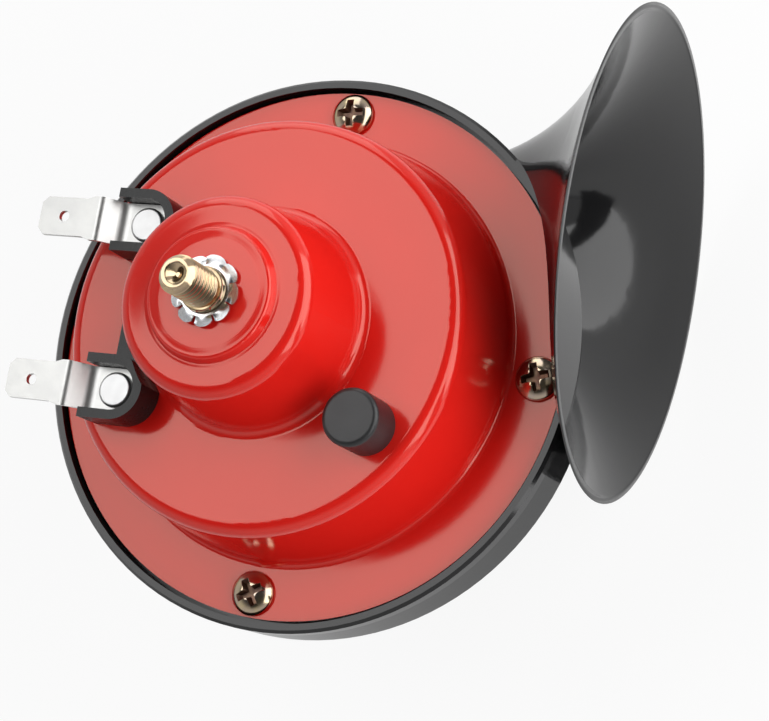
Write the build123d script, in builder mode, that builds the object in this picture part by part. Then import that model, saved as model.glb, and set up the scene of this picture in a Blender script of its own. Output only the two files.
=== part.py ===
from math import cos, exp, hypot, radians, sin
import os

from build123d import *

os.makedirs("parts", exist_ok=True)

# Heights run along the stud, zero at the root of its outer thread.
shoulder_stand = 0.8
washer_height = 1.3
disc_rise = 1.3
dome_rise = 16.16
tier_rise = 18.24
sheet = 0.8
same_spot = 0.01

disc_top = -shoulder_stand - washer_height
dome_top = disc_top - disc_rise
tier_top = dome_top - dome_rise
flange_top = tier_top - tier_rise
tier_under = tier_top - sheet
dome_under = dome_top - sheet
disc_under = disc_top - sheet
flange_under = flange_top - sheet

# Pressed cover, inside the rim of the horn moulding.
rim_radius = 46.0
rim_width = 1.5
flange_clearance = 0.55
screw_edge_distance = 3.85
tier_foot_distance = 5.15
tier_draft = 1.9
dome_foot_radius = 17.3
dome_top_radius = 15.4
disc_foot_radius = 10.5
disc_radius = 9.9
tier_foot_round = 1.0
tier_shoulder_round = 2.2
dome_foot_round = 1.6
dome_shoulder_round = 2.0
disc_round = 0.5

# Fixing screws.
screw_count = 4
screw_radius = 1.9
screw_length = 8.0
screw_head_radius = 3.6
screw_head_height = 2.2
screw_head_round = 1.1
screw_clearance = 0.3
pilot_clearance = 0.05
pilot_depth = 0.6

# Stud, washer and core.
stud_radius = 3.0
stud_stand = 8.3
shoulder_radius = 3.45
stud_thread_depth = 7.9
stud_chamfer = 0.8
stud_cup_radius = 1.7
stud_cup_depth = 1.2
thread_clearance = 0.02
washer_body_radius = 4.5
washer_bore_clearance = 0.1
petal_count = 9
petal_reach = 4.65
petal_radius = 0.85
core_radius = 5.5
core_length = 15.9
core_hole_depth = 8.4

# Coil.
bobbin_bore_clearance = 0.05
bobbin_tube_wall = 0.75
bobbin_dome_gap = 1.3
bobbin_flange_thick = 1.0
winding_inset = 0.5
winding_clearance = 0.05
lead_radius = 0.4
lead_hole_clearance = 0.25
lead_exit_inset = 1.8

# Yoke and armature.
yoke_stack_gap = 1.55
yoke_thick = 1.8
yoke_gap = 0.5
armature_radius = 5.2
core_air_gap = 0.8
collar_radius = 8.4
collar_height = 2.0
finger_gap = 0.6
foot_radius = 9.0
foot_height = 1.5
stem_radius = 2.5
stem_clearance = 0.02
stem_length = 5.0
armature_washer_radius = 8.0
armature_washer_thick = 1.0
armature_nut_flats = 8.0
armature_nut_height = 2.5

# Diaphragm and gaskets.
gasket_thick = 0.5
gasket_edge_gap = 0.05
gasket_bore_gap = 0.4
diaphragm_thick = 0.3
diaphragm_dish = 1.2
dish_edge_distance = 1.6
dish_inner_radius = 13.0

# Horn moulding: drum.
rim_stand = 1.3
rim_band = 2.5
rim_round = 0.5
wall_step = 0.6
drum_height = 11.0
drum_floor = 2.0
seat_width = 7.5
throat_radius = 4.5

# Horn moulding: bell.
bell_y = 24.84
bell_drop = 14.39
lip_x = 47.9
lip_radius = 40.38
lip_bore_radius = 39.0
neck_limit_radius = 8.46
neck_bore_limit_radius = 6.5
flare_length = 15.06
bore_flare_length = 13.3
bell_wall = 2.0
bell_steps = 12
neck_start_x = -3.0

# Bulge of the drum inside the mouth.
bulge_stand = 1.5
bulge_top_drop = 4.0
bulge_mid_drop = 1.5
bulge_low_step = 1.7
bulge_low_drop = 6.5
bulge_floor_step = 7.0

# Spiral duct.
duct_end_radius = 6.5
duct_centre_end = 9.5
duct_centre_curve = 5.3
duct_stations = 13
duct_end_overlap = 0.5
hub_radius = 8.0
parting_x = 12.0
parting_y = 13.3
parting_far_x = 24.0
parting_far_y = 9.0

# Terminals and their insulator.
terminal_turn = 2.0
rivet_spread = 32.95
rivet_inset = 0.63
rivet_radius = 1.5
rivet_clearance = 0.05
rivet_head_radius = 2.8
rivet_head_height = 0.9
rivet_foot_radius = 2.5
rivet_foot_height = 0.8
pocket_half_width = 5.1
pocket_wall = 1.5
pocket_shift = 0.9
pocket_reach = 4.4
pocket_floor = 1.96
pocket_height = 5.96
bar_reach = 1.8
bar_end_inset = 4.35
block_dome_clearance = 2.0
spigot_radius = 2.5
spigot_clearance = 0.05
blade_thick = 0.8
blade_width = 6.3
shoulder_width = 7.2
blade_lift = 2.75
joggle_start_reach = 4.5
joggle_end_reach = 7.6
shoulder_reach = 8.9
taper_reach = 10.2
blade_reach = 18.4
blade_tip_chamfer = 1.05
blade_bend = 0.6
joggle_bend = 2.8
blade_hole_reach = 13.95
blade_hole_radius = 0.9
terminal_clearance = 0.1
washer_insulator_radius = 4.3
washer_insulator_thick = 1.5
tag_radius = 2.9
tag_thick = 0.5
tag_tail_length = 6.0
tag_tail_width = 2.6

# Contact adjuster.
adjuster_offset = 0.32
adjuster_turn = -32.5
cap_radius = 4.45
cap_height = 7.36
cap_round = 0.8
cap_roof = 1.7
cap_clearance = 0.05
bush_radius = 3.0
bush_stand = 3.76
bush_flange_radius = 4.6
bush_flange_thick = 1.2
bush_clearance = 0.05
adjust_screw_radius = 2.0
adjust_screw_stand = 5.16
adjust_slot_width = 0.8
adjust_slot_depth = 1.0
tip_radius = 1.5
tip_length = 0.9

# Contact set, laid out along and across the line from the stud to the adjuster.
arm_thick = 0.4
leaf_thick = 0.6
contact_thick = 0.7
arm_drop = 5.94
contact_radius = 2.0
contact_tail_radius = 1.2
contact_head_height = 0.5
contact_clearance = 0.02
contact_inset = 1.5
contact_v = 6.2
stack_inset = 4.0
stack_v = -14.5
stack_rivet_pitch = 3.8
stack_rivet_shift = 0.6
stack_half_u = 2.8
stack_half_v = 4.2
stack_rivet_radius = 1.1
stack_head_radius = 1.3
stack_head_height = 0.8
stack_clearance = 0.05
stack_sleeve_radius = 1.6
plate_insulator_thick = 0.8
bracket_thick = 1.2
bracket_foot_lift = 0.8
arm_inset = 5.0
arm_outset = 3.5
blade_v_low = -7.0
blade_v_high = 9.5
finger_half_width = 2.5
finger_tip_u = 6.2
arm_hole_radius = 2.6
leaf_tail = 1.6
lead_bend = 1.0
lead_straight = 4.0
tag_tail_grip = 1.0

rim_bore_radius = rim_radius - rim_width
flange_radius = rim_bore_radius - flange_clearance
screw_circle_radius = flange_radius - screw_edge_distance
tier_foot_radius = screw_circle_radius - tier_foot_distance
tier_top_radius = tier_foot_radius - tier_draft
chamber_radius = rim_bore_radius - seat_width
gasket_radius = flange_radius - gasket_edge_gap
gasket_bore_radius = chamber_radius - gasket_bore_gap
dish_outer_radius = gasket_bore_radius - dish_edge_distance
bulge_radius = rim_radius + bulge_stand
bulge_low_radius = rim_radius - bulge_low_step
bulge_floor_radius = rim_radius - bulge_floor_step

core_bottom = disc_under - core_length
armature_top = core_bottom - core_air_gap
yoke_bottom = tier_under - yoke_thick
diaphragm_top = flange_under - gasket_thick
diaphragm_bottom = diaphragm_top - diaphragm_thick
seat_top = diaphragm_bottom - gasket_thick
centre_top = diaphragm_top - diaphragm_dish
centre_bottom = centre_top - diaphragm_thick
rim_top = flange_top + rim_stand
drum_bottom = rim_top - drum_height
chamber_floor = drum_bottom + drum_floor
bell_z = flange_top - bell_drop
arm_top = tier_under - arm_drop
arm_bottom = arm_top - arm_thick
leaf_top = arm_bottom - 2 * contact_thick
leaf_bottom = leaf_top - leaf_thick
collar_top = arm_bottom - finger_gap
block_floor_top = tier_top + pocket_floor
terminal_top = block_floor_top + blade_thick
blade_top = terminal_top + blade_lift

bobbin_flange_radius = dome_top_radius - sheet - bobbin_dome_gap
winding_radius = bobbin_flange_radius - winding_inset
lead_exit_radius = winding_radius - lead_exit_inset
ledge_middle = (tier_top_radius + dome_foot_radius) / 2
rivet_x = (rivet_inset - ledge_middle) * cos(radians(rivet_spread))
rivet_y = (ledge_middle - rivet_inset) * sin(radians(rivet_spread))
pocket_centre_x = rivet_x + pocket_shift
pocket_open_x = rivet_x - pocket_reach
bar_outer_x = rivet_x - bar_reach
bar_half_length = rivet_y - bar_end_inset
joggle_in_x = rivet_x - joggle_start_reach
joggle_out_x = rivet_x - joggle_end_reach
shoulder_x = rivet_x - shoulder_reach
taper_x = rivet_x - taper_reach
blade_tip_x = rivet_x - blade_reach
blade_hole_x = rivet_x - blade_hole_reach
adjuster_reach = ledge_middle + adjuster_offset
adjuster_x = adjuster_reach * cos(radians(adjuster_turn))
adjuster_y = adjuster_reach * sin(radians(adjuster_turn))
contact_u = adjuster_reach - contact_inset
stack_u = adjuster_reach - stack_inset
blade_u_in = adjuster_reach - arm_inset
blade_u_out = adjuster_reach + arm_outset
stack_low_v = stack_v - stack_half_v
stack_high_v = stack_v + stack_half_v
stack_in_u = stack_u - stack_half_u
stack_out_u = stack_u + stack_half_u
yoke_radius = hypot(stack_in_u, stack_high_v) - yoke_stack_gap
terminal_plane = Plane.XY.rotated((0, 0, terminal_turn))
adjuster_plane = Plane.XY.rotated((0, 0, adjuster_turn))
bell_plane = Plane(origin=(0, bell_y, bell_z), x_dir=(1, 0, 0), z_dir=(0, -1, 0))
bell_axis = Axis((0, bell_y, bell_z), (1, 0, 0))


def outerFlare(x):
    return neck_limit_radius + (lip_radius - neck_limit_radius) * exp((x - lip_x) / flare_length)


def innerFlare(x):
    rise = lip_bore_radius - neck_bore_limit_radius
    return neck_bore_limit_radius + rise * exp((x - lip_x) / bore_flare_length)


duct_end_bore = duct_end_radius - bell_wall
duct_end_reach = duct_centre_end + duct_end_radius - duct_end_overlap
neck_radius = outerFlare(0)
neck_bore_radius = innerFlare(0)
flare_length_drawn = lip_x - neck_start_x
flare_stations = [neck_start_x + flare_length_drawn * n / bell_steps for n in range(bell_steps + 1)]


def ductCentre(turn):
    fall = bell_y - duct_centre_end
    return bell_y - (fall - duct_centre_curve) * turn - duct_centre_curve * turn ** 2


def ductPlane(turn):
    angle = radians(90 + 360 * turn)
    reach = ductCentre(turn)
    spot = (reach * cos(angle), reach * sin(angle), bell_z)
    return Plane(origin=spot, x_dir=(0, 0, 1), z_dir=(sin(angle), -cos(angle), 0))


def hexRadius(flats):
    return flats / 2 / cos(radians(30))


# Cover.
with BuildPart() as cover:
    with BuildSketch(Plane.XZ) as outside:
        with BuildLine():
            Polyline(
                (0, flange_under),
                (flange_radius, flange_under),
                (flange_radius, flange_top),
                (tier_foot_radius, flange_top),
                (tier_top_radius, tier_top),
                (dome_foot_radius, tier_top),
                (dome_top_radius, dome_top),
                (disc_foot_radius, dome_top),
                (disc_radius, disc_top),
                (0, disc_top),
                close=True,
            )
        make_face()
        rounds = [
            (tier_foot_radius, tier_foot_round),
            (tier_top_radius, tier_shoulder_round),
            (dome_foot_radius, dome_foot_round),
            (dome_top_radius, dome_shoulder_round),
            (disc_radius, disc_round),
        ]
        for reach, size in rounds:
            fillet([v for v in outside.vertices() if abs(v.X - reach) < same_spot], size)
    revolve(axis=Axis.Z)
    with BuildSketch(Plane.XZ) as inside:
        with BuildLine():
            Polyline(
                (0, flange_under - sheet),
                (tier_foot_radius - sheet, flange_under - sheet),
                (tier_foot_radius - sheet, flange_under),
                (tier_top_radius - sheet, tier_under),
                (dome_foot_radius - sheet, tier_under),
                (dome_top_radius - sheet, dome_under),
                (disc_foot_radius - sheet, dome_under),
                (disc_radius - sheet, disc_under),
                (0, disc_under),
                close=True,
            )
        make_face()
        rounds = [
            (tier_top_radius - sheet, tier_shoulder_round - sheet),
            (dome_foot_radius - sheet, dome_foot_round + sheet),
            (dome_top_radius - sheet, dome_shoulder_round - sheet),
        ]
        for reach, size in rounds:
            fillet([v for v in inside.vertices() if abs(v.X - reach) < same_spot], size)
    revolve(axis=Axis.Z, mode=Mode.SUBTRACT)
    with BuildSketch(Plane.XY.offset(flange_under)):
        with PolarLocations(screw_circle_radius, screw_count):
            Circle(screw_radius + screw_clearance)
    extrude(amount=sheet, mode=Mode.SUBTRACT)
    with BuildSketch(Plane.XY.offset(disc_under)):
        Circle(shoulder_radius + washer_bore_clearance)
    extrude(amount=sheet, mode=Mode.SUBTRACT)
    with BuildSketch(terminal_plane.offset(tier_under)):
        with Locations((rivet_x, rivet_y), (rivet_x, -rivet_y)):
            Circle(spigot_radius + spigot_clearance)
    extrude(amount=sheet, mode=Mode.SUBTRACT)
    with BuildSketch(Plane.XY.offset(tier_under)):
        with Locations((adjuster_x, adjuster_y)):
            Circle(bush_radius + bush_clearance)
    extrude(amount=sheet, mode=Mode.SUBTRACT)
cover.part.label = "cover"
export_step(cover.part, "parts/cover.step")

# Air path of the horn, from the centre of the spiral to the mouth.
with BuildPart() as air_path:
    with BuildSketch(bell_plane):
        with BuildLine():
            Polyline(
                (neck_start_x, innerFlare(neck_start_x)),
                (neck_start_x, 0),
                (lip_x + bell_wall, 0),
                (lip_x + bell_wall, lip_bore_radius),
                (lip_x, lip_bore_radius),
            )
            Spline([(x, innerFlare(x)) for x in reversed(flare_stations)])
        make_face()
    revolve(axis=bell_axis)
    for n in range(duct_stations):
        turn = n / (duct_stations - 1)
        narrowing = (neck_bore_radius - duct_end_bore) * turn
        with BuildSketch(ductPlane(turn)):
            Circle(neck_bore_radius - narrowing)
    loft()
    with BuildSketch(Plane.XZ.offset(-duct_centre_end - duct_end_bore)):
        with Locations((0, bell_z)):
            Circle(duct_end_bore)
    extrude(amount=duct_centre_end + duct_end_bore)
    with BuildSketch(Plane.XZ):
        with BuildLine():
            Polyline(
                (0, drum_bottom),
                (bulge_floor_radius, drum_bottom),
                (bulge_low_radius, flange_top - bulge_low_drop),
                (rim_radius, flange_top - bulge_mid_drop),
                (bulge_radius, flange_top + bulge_top_drop),
                (bulge_radius, 0),
                (0, 0),
                close=True,
            )
        make_face()
    revolve(axis=Axis.Z, mode=Mode.SUBTRACT)
    with BuildSketch(Plane.XY.offset(bell_z)):
        Circle(throat_radius)
    extrude(amount=chamber_floor - bell_z)

# Complete horn shell, before it is parted into its two mouldings.
with BuildPart() as shell:
    with BuildSketch(bell_plane):
        with BuildLine():
            Spline([(x, outerFlare(x)) for x in flare_stations])
            Polyline(
                (lip_x, lip_radius),
                (lip_x, 0),
                (neck_start_x, 0),
                (neck_start_x, outerFlare(neck_start_x)),
            )
        make_face()
    revolve(axis=bell_axis)
    with BuildSketch(Plane.XZ):
        with BuildLine():
            Polyline(
                (0, drum_bottom),
                (rim_radius - rim_round, drum_bottom),
                (rim_radius, drum_bottom + rim_round),
                (rim_radius - wall_step, rim_top - rim_band),
                (rim_radius, rim_top - rim_band),
                (rim_radius, rim_top - rim_round),
                (rim_radius - rim_round, rim_top),
                (0, rim_top),
                close=True,
            )
        make_face()
    revolve(axis=Axis.Z)
    for n in range(duct_stations):
        turn = n / (duct_stations - 1)
        with BuildSketch(ductPlane(turn)):
            Circle(neck_radius - (neck_radius - duct_end_radius) * turn)
    loft()
    with BuildSketch(Plane.XY.offset(rim_top)):
        Circle(rim_radius)
    extrude(amount=-rim_top, mode=Mode.SUBTRACT)
    with BuildSketch(Plane.XY.offset(drum_bottom)):
        Circle(hub_radius)
    extrude(amount=bell_z - duct_end_radius - drum_bottom)
    with BuildSketch(Plane.XZ.offset(-duct_end_reach)):
        with Locations((0, bell_z)):
            Circle(duct_end_radius)
    extrude(amount=duct_end_reach)
    add(air_path.part, mode=Mode.SUBTRACT)
    with BuildSketch(Plane.XY.offset(chamber_floor)):
        Circle(chamber_radius)
    extrude(amount=seat_top - chamber_floor, mode=Mode.SUBTRACT)
    with BuildSketch(Plane.XY.offset(seat_top)):
        Circle(rim_bore_radius)
    extrude(amount=rim_top - seat_top, mode=Mode.SUBTRACT)
    with BuildSketch(Plane.XY.offset(flange_top - screw_length - pilot_depth)):
        with PolarLocations(screw_circle_radius, screw_count):
            Circle(screw_radius + pilot_clearance)
    extrude(amount=seat_top - flange_top + screw_length + pilot_depth, mode=Mode.SUBTRACT)

# Region behind the parting plane that belongs to the rear moulding.
with BuildPart() as rear_region:
    with BuildSketch(Plane.XY.offset(bell_z)):
        Circle(rim_radius)
        with BuildLine():
            Polyline(
                (parting_x, 2 * rim_radius),
                (parting_x, parting_y),
                (parting_far_x, parting_far_y),
                (parting_far_x, -2 * rim_radius),
                (2 * rim_radius, -2 * rim_radius),
                (2 * rim_radius, 2 * rim_radius),
                close=True,
            )
        make_face(mode=Mode.SUBTRACT)
    extrude(amount=-rim_radius)

# Front moulding: drum, front half of the duct and the bell.
with BuildPart() as horn_body:
    add(shell.part)
    add(rear_region.part, mode=Mode.SUBTRACT)
horn_body.part.label = "horn_body"
export_step(horn_body.part, "parts/horn_body.step")

# Rear moulding: the back half of the duct.
with BuildPart() as snail_cover:
    add(shell.part)
    add(rear_region.part, mode=Mode.INTERSECT)
snail_cover.part.label = "snail_cover"
export_step(snail_cover.part, "parts/snail_cover.step")

# Gaskets and diaphragm clamped between the cover and the drum.
ring_pieces = [("cover_gasket", diaphragm_top), ("body_gasket", seat_top)]
for ring_name, ring_bottom in ring_pieces:
    with BuildPart() as ring:
        with BuildSketch(Plane.XY.offset(ring_bottom)):
            Circle(gasket_radius)
            Circle(gasket_bore_radius, mode=Mode.SUBTRACT)
            with PolarLocations(screw_circle_radius, screw_count):
                Circle(screw_radius + screw_clearance, mode=Mode.SUBTRACT)
        extrude(amount=gasket_thick)
    ring.part.label = ring_name
    export_step(ring.part, "parts/" + ring_name + ".step")

with BuildPart() as diaphragm:
    with BuildSketch(Plane.XZ):
        with BuildLine():
            Polyline(
                (stem_radius + stem_clearance, centre_bottom),
                (dish_inner_radius, centre_bottom),
                (dish_outer_radius, diaphragm_bottom),
                (gasket_radius, diaphragm_bottom),
                (gasket_radius, diaphragm_top),
                (dish_outer_radius, diaphragm_top),
                (dish_inner_radius, centre_top),
                (stem_radius + stem_clearance, centre_top),
                close=True,
            )
        make_face()
    revolve(axis=Axis.Z)
    with BuildSketch(Plane.XY.offset(diaphragm_bottom)):
        with PolarLocations(screw_circle_radius, screw_count):
            Circle(screw_radius + screw_clearance)
    extrude(amount=diaphragm_thick, mode=Mode.SUBTRACT)
diaphragm.part.label = "diaphragm"
export_step(diaphragm.part, "parts/diaphragm.step")

# Four pan-head screws through the flange.
with BuildPart() as cover_screws:
    with BuildSketch(Plane.XY.offset(flange_top)):
        with PolarLocations(screw_circle_radius, screw_count):
            Circle(screw_head_radius)
    extrude(amount=screw_head_height)
    crowns = cover_screws.faces().group_by(Axis.Z)[-1].edges()
    fillet(crowns, screw_head_round)
    with BuildSketch(Plane.XY.offset(flange_top)):
        with PolarLocations(screw_circle_radius, screw_count):
            Circle(screw_radius)
    extrude(amount=-screw_length)
cover_screws.part.label = "cover_screws"
export_step(cover_screws.part, "parts/cover_screws.step")

# Toothed lock washer under the bracket.
with BuildPart() as lock_washer:
    with BuildSketch(Plane.XY.offset(disc_top)):
        Circle(washer_body_radius)
        with PolarLocations(petal_reach, petal_count):
            Circle(petal_radius)
        Circle(shoulder_radius + washer_bore_clearance, mode=Mode.SUBTRACT)
    extrude(amount=washer_height)
lock_washer.part.label = "lock_washer"
export_step(lock_washer.part, "parts/lock_washer.step")

# Magnet core, tapped at its outer end for the stud.
with BuildPart() as core:
    with BuildSketch(Plane.XY.offset(core_bottom)):
        Circle(core_radius)
    extrude(amount=core_length)
    with BuildSketch(Plane.XY.offset(disc_under - core_hole_depth)):
        Circle(stud_radius + thread_clearance)
    extrude(amount=core_hole_depth, mode=Mode.SUBTRACT)
core.part.label = "core"
export_step(core.part, "parts/core.step")

# Mounting stud with a cup point.
with BuildPart() as mounting_stud:
    with BuildSketch(Plane.XZ):
        with BuildLine():
            Polyline(
                (0, disc_under - stud_thread_depth),
                (stud_radius, disc_under - stud_thread_depth),
                (stud_radius, disc_under),
                (shoulder_radius, disc_under),
                (shoulder_radius, 0),
                (stud_radius, 0),
                (stud_radius, stud_stand - stud_chamfer),
                (stud_radius - stud_chamfer, stud_stand),
                (stud_cup_radius, stud_stand),
                (0, stud_stand - stud_cup_depth),
                close=True,
            )
        make_face()
    revolve(axis=Axis.Z)
mounting_stud.part.label = "mounting_stud"
export_step(mounting_stud.part, "parts/mounting_stud.step")

# Coil former and winding.
with BuildPart() as coil_bobbin:
    with BuildSketch(Plane.XY.offset(tier_under)):
        Circle(core_radius + bobbin_bore_clearance + bobbin_tube_wall)
    extrude(amount=dome_under - tier_under)
    flange_levels = (tier_under, dome_under - bobbin_flange_thick)
    for level in flange_levels:
        with BuildSketch(Plane.XY.offset(level)):
            Circle(bobbin_flange_radius)
        extrude(amount=bobbin_flange_thick)
    with BuildSketch(Plane.XY.offset(tier_under)):
        Circle(core_radius + bobbin_bore_clearance)
    extrude(amount=dome_under - tier_under, mode=Mode.SUBTRACT)
    with BuildSketch(terminal_plane.offset(tier_under)):
        with Locations((-lead_exit_radius, 0), (0, -lead_exit_radius)):
            Circle(lead_radius + lead_hole_clearance)
    extrude(amount=bobbin_flange_thick, mode=Mode.SUBTRACT)
coil_bobbin.part.label = "coil_bobbin"
export_step(coil_bobbin.part, "parts/coil_bobbin.step")

with BuildPart() as coil_winding:
    with BuildSketch(Plane.XY.offset(tier_under + bobbin_flange_thick)):
        Circle(winding_radius)
        tube_radius = core_radius + bobbin_bore_clearance + bobbin_tube_wall
        Circle(tube_radius + winding_clearance, mode=Mode.SUBTRACT)
    extrude(amount=dome_under - tier_under - 2 * bobbin_flange_thick)
coil_winding.part.label = "coil_winding"
export_step(coil_winding.part, "parts/coil_winding.step")

with BuildPart() as yoke_plate:
    with BuildSketch(Plane.XY.offset(yoke_bottom)):
        Circle(yoke_radius)
        Circle(armature_radius + yoke_gap, mode=Mode.SUBTRACT)
    extrude(amount=yoke_thick)
    with BuildSketch(terminal_plane.offset(yoke_bottom)):
        with Locations((-lead_exit_radius, 0), (0, -lead_exit_radius)):
            Circle(lead_radius + lead_hole_clearance)
    extrude(amount=yoke_thick, mode=Mode.SUBTRACT)
yoke_plate.part.label = "yoke_plate"
export_step(yoke_plate.part, "parts/yoke_plate.step")

# Armature riding on the diaphragm.
with BuildPart() as armature:
    with BuildSketch(Plane.XZ):
        with BuildLine():
            Polyline(
                (0, centre_top - stem_length),
                (stem_radius, centre_top - stem_length),
                (stem_radius, centre_top),
                (foot_radius, centre_top),
                (foot_radius, centre_top + foot_height),
                (armature_radius, centre_top + foot_height),
                (armature_radius, collar_top - collar_height),
                (collar_radius, collar_top - collar_height),
                (collar_radius, collar_top),
                (armature_radius, collar_top),
                (armature_radius, armature_top),
                (0, armature_top),
                close=True,
            )
        make_face()
    revolve(axis=Axis.Z)
armature.part.label = "armature"
export_step(armature.part, "parts/armature.step")

with BuildPart() as armature_washer:
    with BuildSketch(Plane.XY.offset(centre_bottom)):
        Circle(armature_washer_radius)
        Circle(stem_radius + stem_clearance, mode=Mode.SUBTRACT)
    extrude(amount=-armature_washer_thick)
armature_washer.part.label = "armature_washer"
export_step(armature_washer.part, "parts/armature_washer.step")

with BuildPart() as armature_nut:
    with BuildSketch(Plane.XY.offset(centre_bottom - armature_washer_thick)):
        RegularPolygon(hexRadius(armature_nut_flats), 6)
        Circle(stem_radius + stem_clearance, mode=Mode.SUBTRACT)
    extrude(amount=-armature_nut_height)
armature_nut.part.label = "armature_nut"
export_step(armature_nut.part, "parts/armature_nut.step")

# Moulded insulator with two open pockets joined by a bar around the dome.
with BuildPart() as insulator_block:
    pocket_half_length = (pocket_centre_x - pocket_open_x) / 2
    pocket_middle_x = (pocket_centre_x + pocket_open_x) / 2
    with BuildSketch(terminal_plane.offset(tier_top)):
        for side in (-1, 1):
            with Locations((pocket_centre_x, side * rivet_y)):
                Circle(pocket_half_width)
            with Locations((pocket_middle_x, side * rivet_y)):
                Rectangle(2 * pocket_half_length, 2 * pocket_half_width)
    extrude(amount=pocket_height)
    with BuildSketch(terminal_plane.offset(block_floor_top)):
        for side in (-1, 1):
            with Locations((pocket_centre_x, side * rivet_y)):
                Circle(pocket_half_width - pocket_wall)
            with Locations((pocket_middle_x - pocket_wall, side * rivet_y)):
                Rectangle(
                    2 * (pocket_half_length + pocket_wall),
                    2 * (pocket_half_width - pocket_wall),
                )
    extrude(amount=pocket_height - pocket_floor, mode=Mode.SUBTRACT)
    with BuildSketch(terminal_plane.offset(tier_top)):
        with Locations((bar_outer_x / 2, 0)):
            Rectangle(-bar_outer_x, 2 * bar_half_length)
    extrude(amount=pocket_floor)
    with BuildSketch(Plane.XY.offset(tier_top)):
        Circle(dome_foot_radius + block_dome_clearance)
    extrude(amount=pocket_height, mode=Mode.SUBTRACT)
    with BuildSketch(terminal_plane.offset(tier_under)):
        with Locations((rivet_x, rivet_y), (rivet_x, -rivet_y)):
            Circle(spigot_radius)
    extrude(amount=sheet)
    with BuildSketch(terminal_plane.offset(tier_under)):
        with Locations((rivet_x, rivet_y), (rivet_x, -rivet_y)):
            Circle(rivet_radius + rivet_clearance)
    extrude(amount=sheet + pocket_floor, mode=Mode.SUBTRACT)
insulator_block.part.label = "insulator_block"
export_step(insulator_block.part, "parts/insulator_block.step")

# Blade terminals, one in each pocket.
terminal_sides = [("terminal_1", 1), ("terminal_2", -1)]
terminal_end_radius = pocket_half_width - pocket_wall - terminal_clearance
terminal_end_x = pocket_centre_x + terminal_end_radius
blade_bottom = blade_top - blade_thick
half_shoulder = shoulder_width / 2
half_blade = blade_width / 2
half_tip = half_blade - blade_tip_chamfer
for terminal_name, side in terminal_sides:
    side_plane = Plane(
        origin=terminal_plane.from_local_coords((0, side * rivet_y, 0)),
        x_dir=terminal_plane.x_dir,
        z_dir=-terminal_plane.y_dir,
    )
    plan_plane = Plane(
        origin=terminal_plane.from_local_coords((0, side * rivet_y, block_floor_top)),
        x_dir=terminal_plane.x_dir,
        z_dir=(0, 0, 1),
    )
    with BuildPart() as terminal:
        with BuildSketch(side_plane) as strip:
            with BuildLine():
                Polyline(
                    (terminal_end_x, block_floor_top),
                    (joggle_in_x, block_floor_top),
                    (joggle_out_x, blade_bottom),
                    (blade_tip_x, blade_bottom),
                    (blade_tip_x, blade_top),
                    (joggle_out_x, blade_top),
                    (joggle_in_x, terminal_top),
                    (terminal_end_x, terminal_top),
                    close=True,
                )
            make_face()
            bends = [
                (joggle_in_x, terminal_top, joggle_bend),
                (joggle_in_x, block_floor_top, joggle_bend + blade_thick),
                (joggle_out_x, blade_bottom, blade_bend),
                (joggle_out_x, blade_top, blade_bend + blade_thick),
            ]
            for bend_x, bend_z, size in bends:
                away = [(abs(v.X - bend_x) + abs(v.Y - bend_z), v) for v in strip.vertices()]
                fillet([v for distance, v in away if distance < same_spot], size)
        extrude(amount=pocket_half_width, both=True)
        with BuildSketch(plan_plane):
            with BuildLine():
                Polyline(
                    (pocket_centre_x, -terminal_end_radius),
                    (joggle_in_x, -terminal_end_radius),
                    (joggle_out_x, -half_shoulder),
                    (shoulder_x, -half_shoulder),
                    (taper_x, -half_blade),
                    (blade_tip_x + blade_tip_chamfer, -half_blade),
                    (blade_tip_x, -half_tip),
                    (blade_tip_x, half_tip),
                    (blade_tip_x + blade_tip_chamfer, half_blade),
                    (taper_x, half_blade),
                    (shoulder_x, half_shoulder),
                    (joggle_out_x, half_shoulder),
                    (joggle_in_x, terminal_end_radius),
                    (pocket_centre_x, terminal_end_radius),
                )
                ThreePointArc(
                    (pocket_centre_x, terminal_end_radius),
                    (terminal_end_x, 0),
                    (pocket_centre_x, -terminal_end_radius),
                )
            make_face()
            with Locations((rivet_x, 0)):
                Circle(rivet_radius + rivet_clearance, mode=Mode.SUBTRACT)
            with Locations((blade_hole_x, 0)):
                Circle(blade_hole_radius, mode=Mode.SUBTRACT)
        extrude(amount=blade_top - block_floor_top, mode=Mode.INTERSECT)
    terminal.part.label = terminal_name
    export_step(terminal.part, "parts/" + terminal_name + ".step")

tag_top = tier_under - washer_insulator_thick
tag_bottom = tag_top - tag_thick

with BuildPart() as terminal_rivets:
    with BuildSketch(terminal_plane.offset(terminal_top)):
        with Locations((rivet_x, rivet_y), (rivet_x, -rivet_y)):
            Circle(rivet_head_radius)
    extrude(amount=rivet_head_height)
    rivet_crowns = terminal_rivets.faces().group_by(Axis.Z)[-1].edges()
    fillet(rivet_crowns, rivet_head_height / 2)
    with BuildSketch(terminal_plane.offset(tag_bottom)):
        with Locations((rivet_x, rivet_y), (rivet_x, -rivet_y)):
            Circle(rivet_radius)
    extrude(amount=terminal_top - tag_bottom)
    with BuildSketch(terminal_plane.offset(tag_bottom)):
        with Locations((rivet_x, rivet_y), (rivet_x, -rivet_y)):
            Circle(rivet_foot_radius)
    extrude(amount=-rivet_foot_height)
terminal_rivets.part.label = "terminal_rivets"
export_step(terminal_rivets.part, "parts/terminal_rivets.step")

with BuildPart() as inner_insulators:
    with BuildSketch(terminal_plane.offset(tag_top)):
        with Locations((rivet_x, rivet_y), (rivet_x, -rivet_y)):
            Circle(washer_insulator_radius)
            Circle(rivet_radius + rivet_clearance, mode=Mode.SUBTRACT)
    extrude(amount=washer_insulator_thick)
inner_insulators.part.label = "inner_insulators"
export_step(inner_insulators.part, "parts/inner_insulators.step")

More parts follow.
